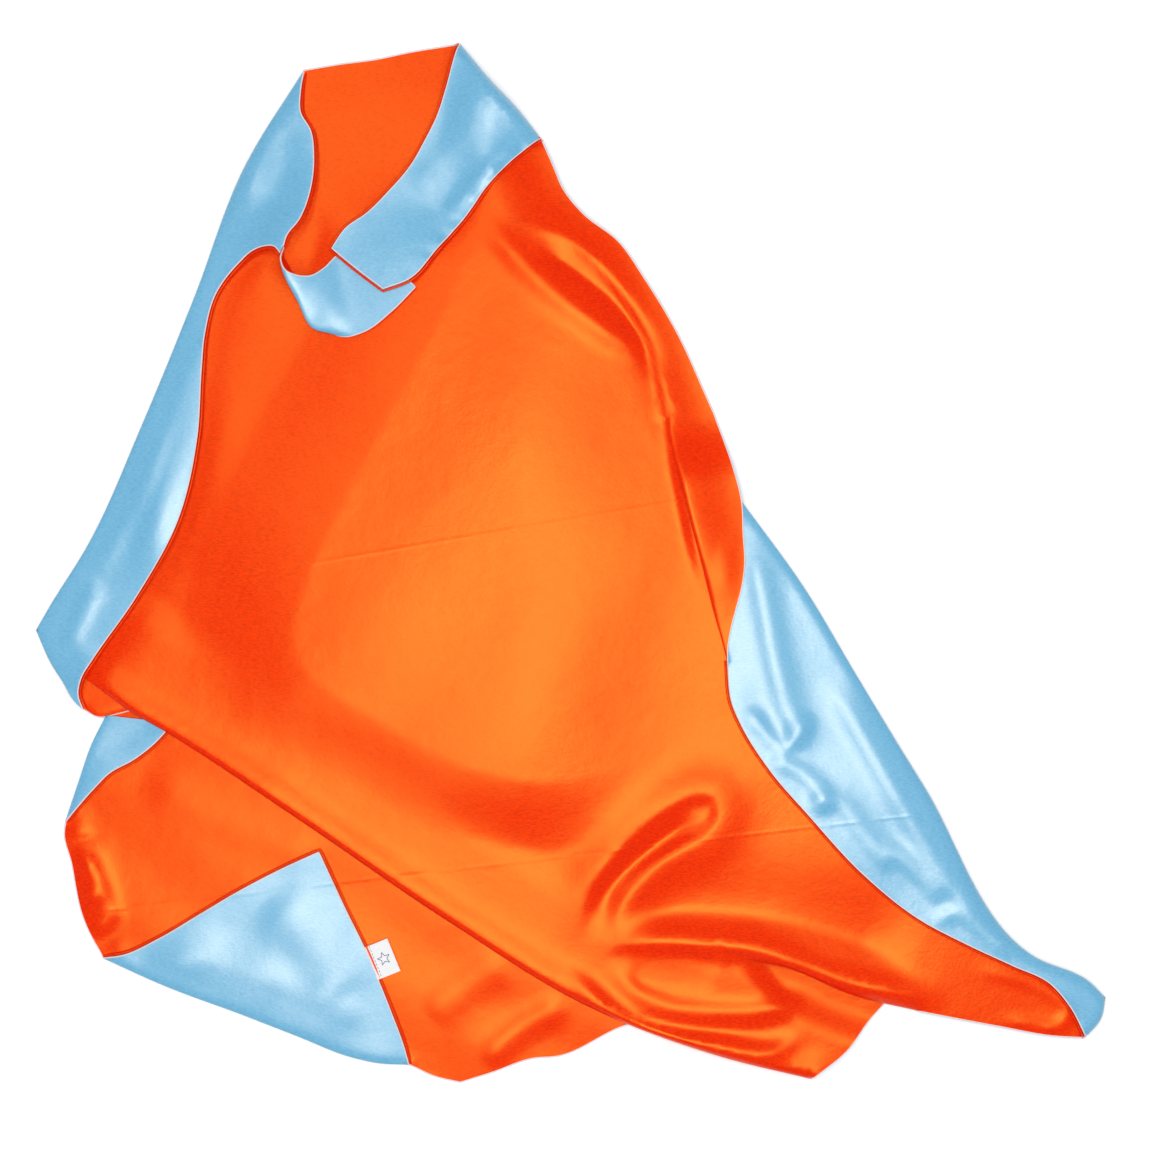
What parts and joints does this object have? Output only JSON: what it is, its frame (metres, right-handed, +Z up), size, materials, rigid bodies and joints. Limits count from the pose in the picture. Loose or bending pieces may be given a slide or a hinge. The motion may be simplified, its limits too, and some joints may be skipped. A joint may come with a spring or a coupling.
{
  "type": "superhero cape",
  "caption": "Child's reversible satin cape lying loosely folded, with a hook-and-loop collar strap, a turned-up corner and a small side label.",
  "frame": {"origin": "centre of the cape's footprint as it lies, on the surface under it", "axes": "+X across the cape towards its trailing tip, +Y from the hem towards the collar, +Z up off the surface"},
  "size_m": [0.7047, 0.6845, 0.022],
  "materials": {
    "orange_satin": "glossy polyester satin, orange",
    "blue_satin": "glossy polyester satin, light blue",
    "seam_thread": "polyester thread along a turned edge, pale pink",
    "hook_tape": "moulded hook tape, off-white",
    "loop_tape": "brushed loop tape, off-white",
    "patch_thread": "polyester thread, light blue",
    "label_ribbon": null,
    "label_thread": "polyester thread, white"
  },
  "bodies": {
    "cape": {"blue_panel": "blue_satin", "orange_panel": "orange_satin", "back_neck_seam": "seam_thread", "hem_seam": "seam_thread", "left_side_seam": "seam_thread", "right_side_seam": "seam_thread", "left_strap_seam": "seam_thread", "right_strap_seam": "seam_thread", "loop_patch": "loop_tape", "loop_patch_stitching": "patch_thread"},
    "closing_tab": {"blue_tab": "blue_satin", "orange_tab": "orange_satin", "tab_seam": "seam_thread", "hook_patch": "hook_tape", "hook_patch_stitching": "patch_thread"},
    "corner": {"blue_corner": "blue_satin", "orange_corner": "orange_satin", "corner_seam": "seam_thread"},
    "label": {"care_label": "label_ribbon", "label_stitching": "label_thread"}
  },
  "joints": [
    {"name": "tab_peel", "type": "hinge", "parent": "cape", "child": "closing_tab", "pos_m": [-0.1035, 0.2255, 0.0065], "axis": [-0.6222, 0.7828, 0], "range_deg": [0, 120]},
    {"name": "corner_turn", "type": "hinge", "parent": "cape", "child": "corner", "pos_m": [-0.2065, -0.296, 0.002], "axis": [0.9425, -0.3343, 0], "range_deg": [0, 165]},
    {"name": "label_flip", "type": "hinge", "parent": "corner", "child": "label", "pos_m": [-0.1304, -0.263, 0.0035], "axis": [0.3786, -0.9256, 0], "range_deg": [0, 110]}
  ]
}
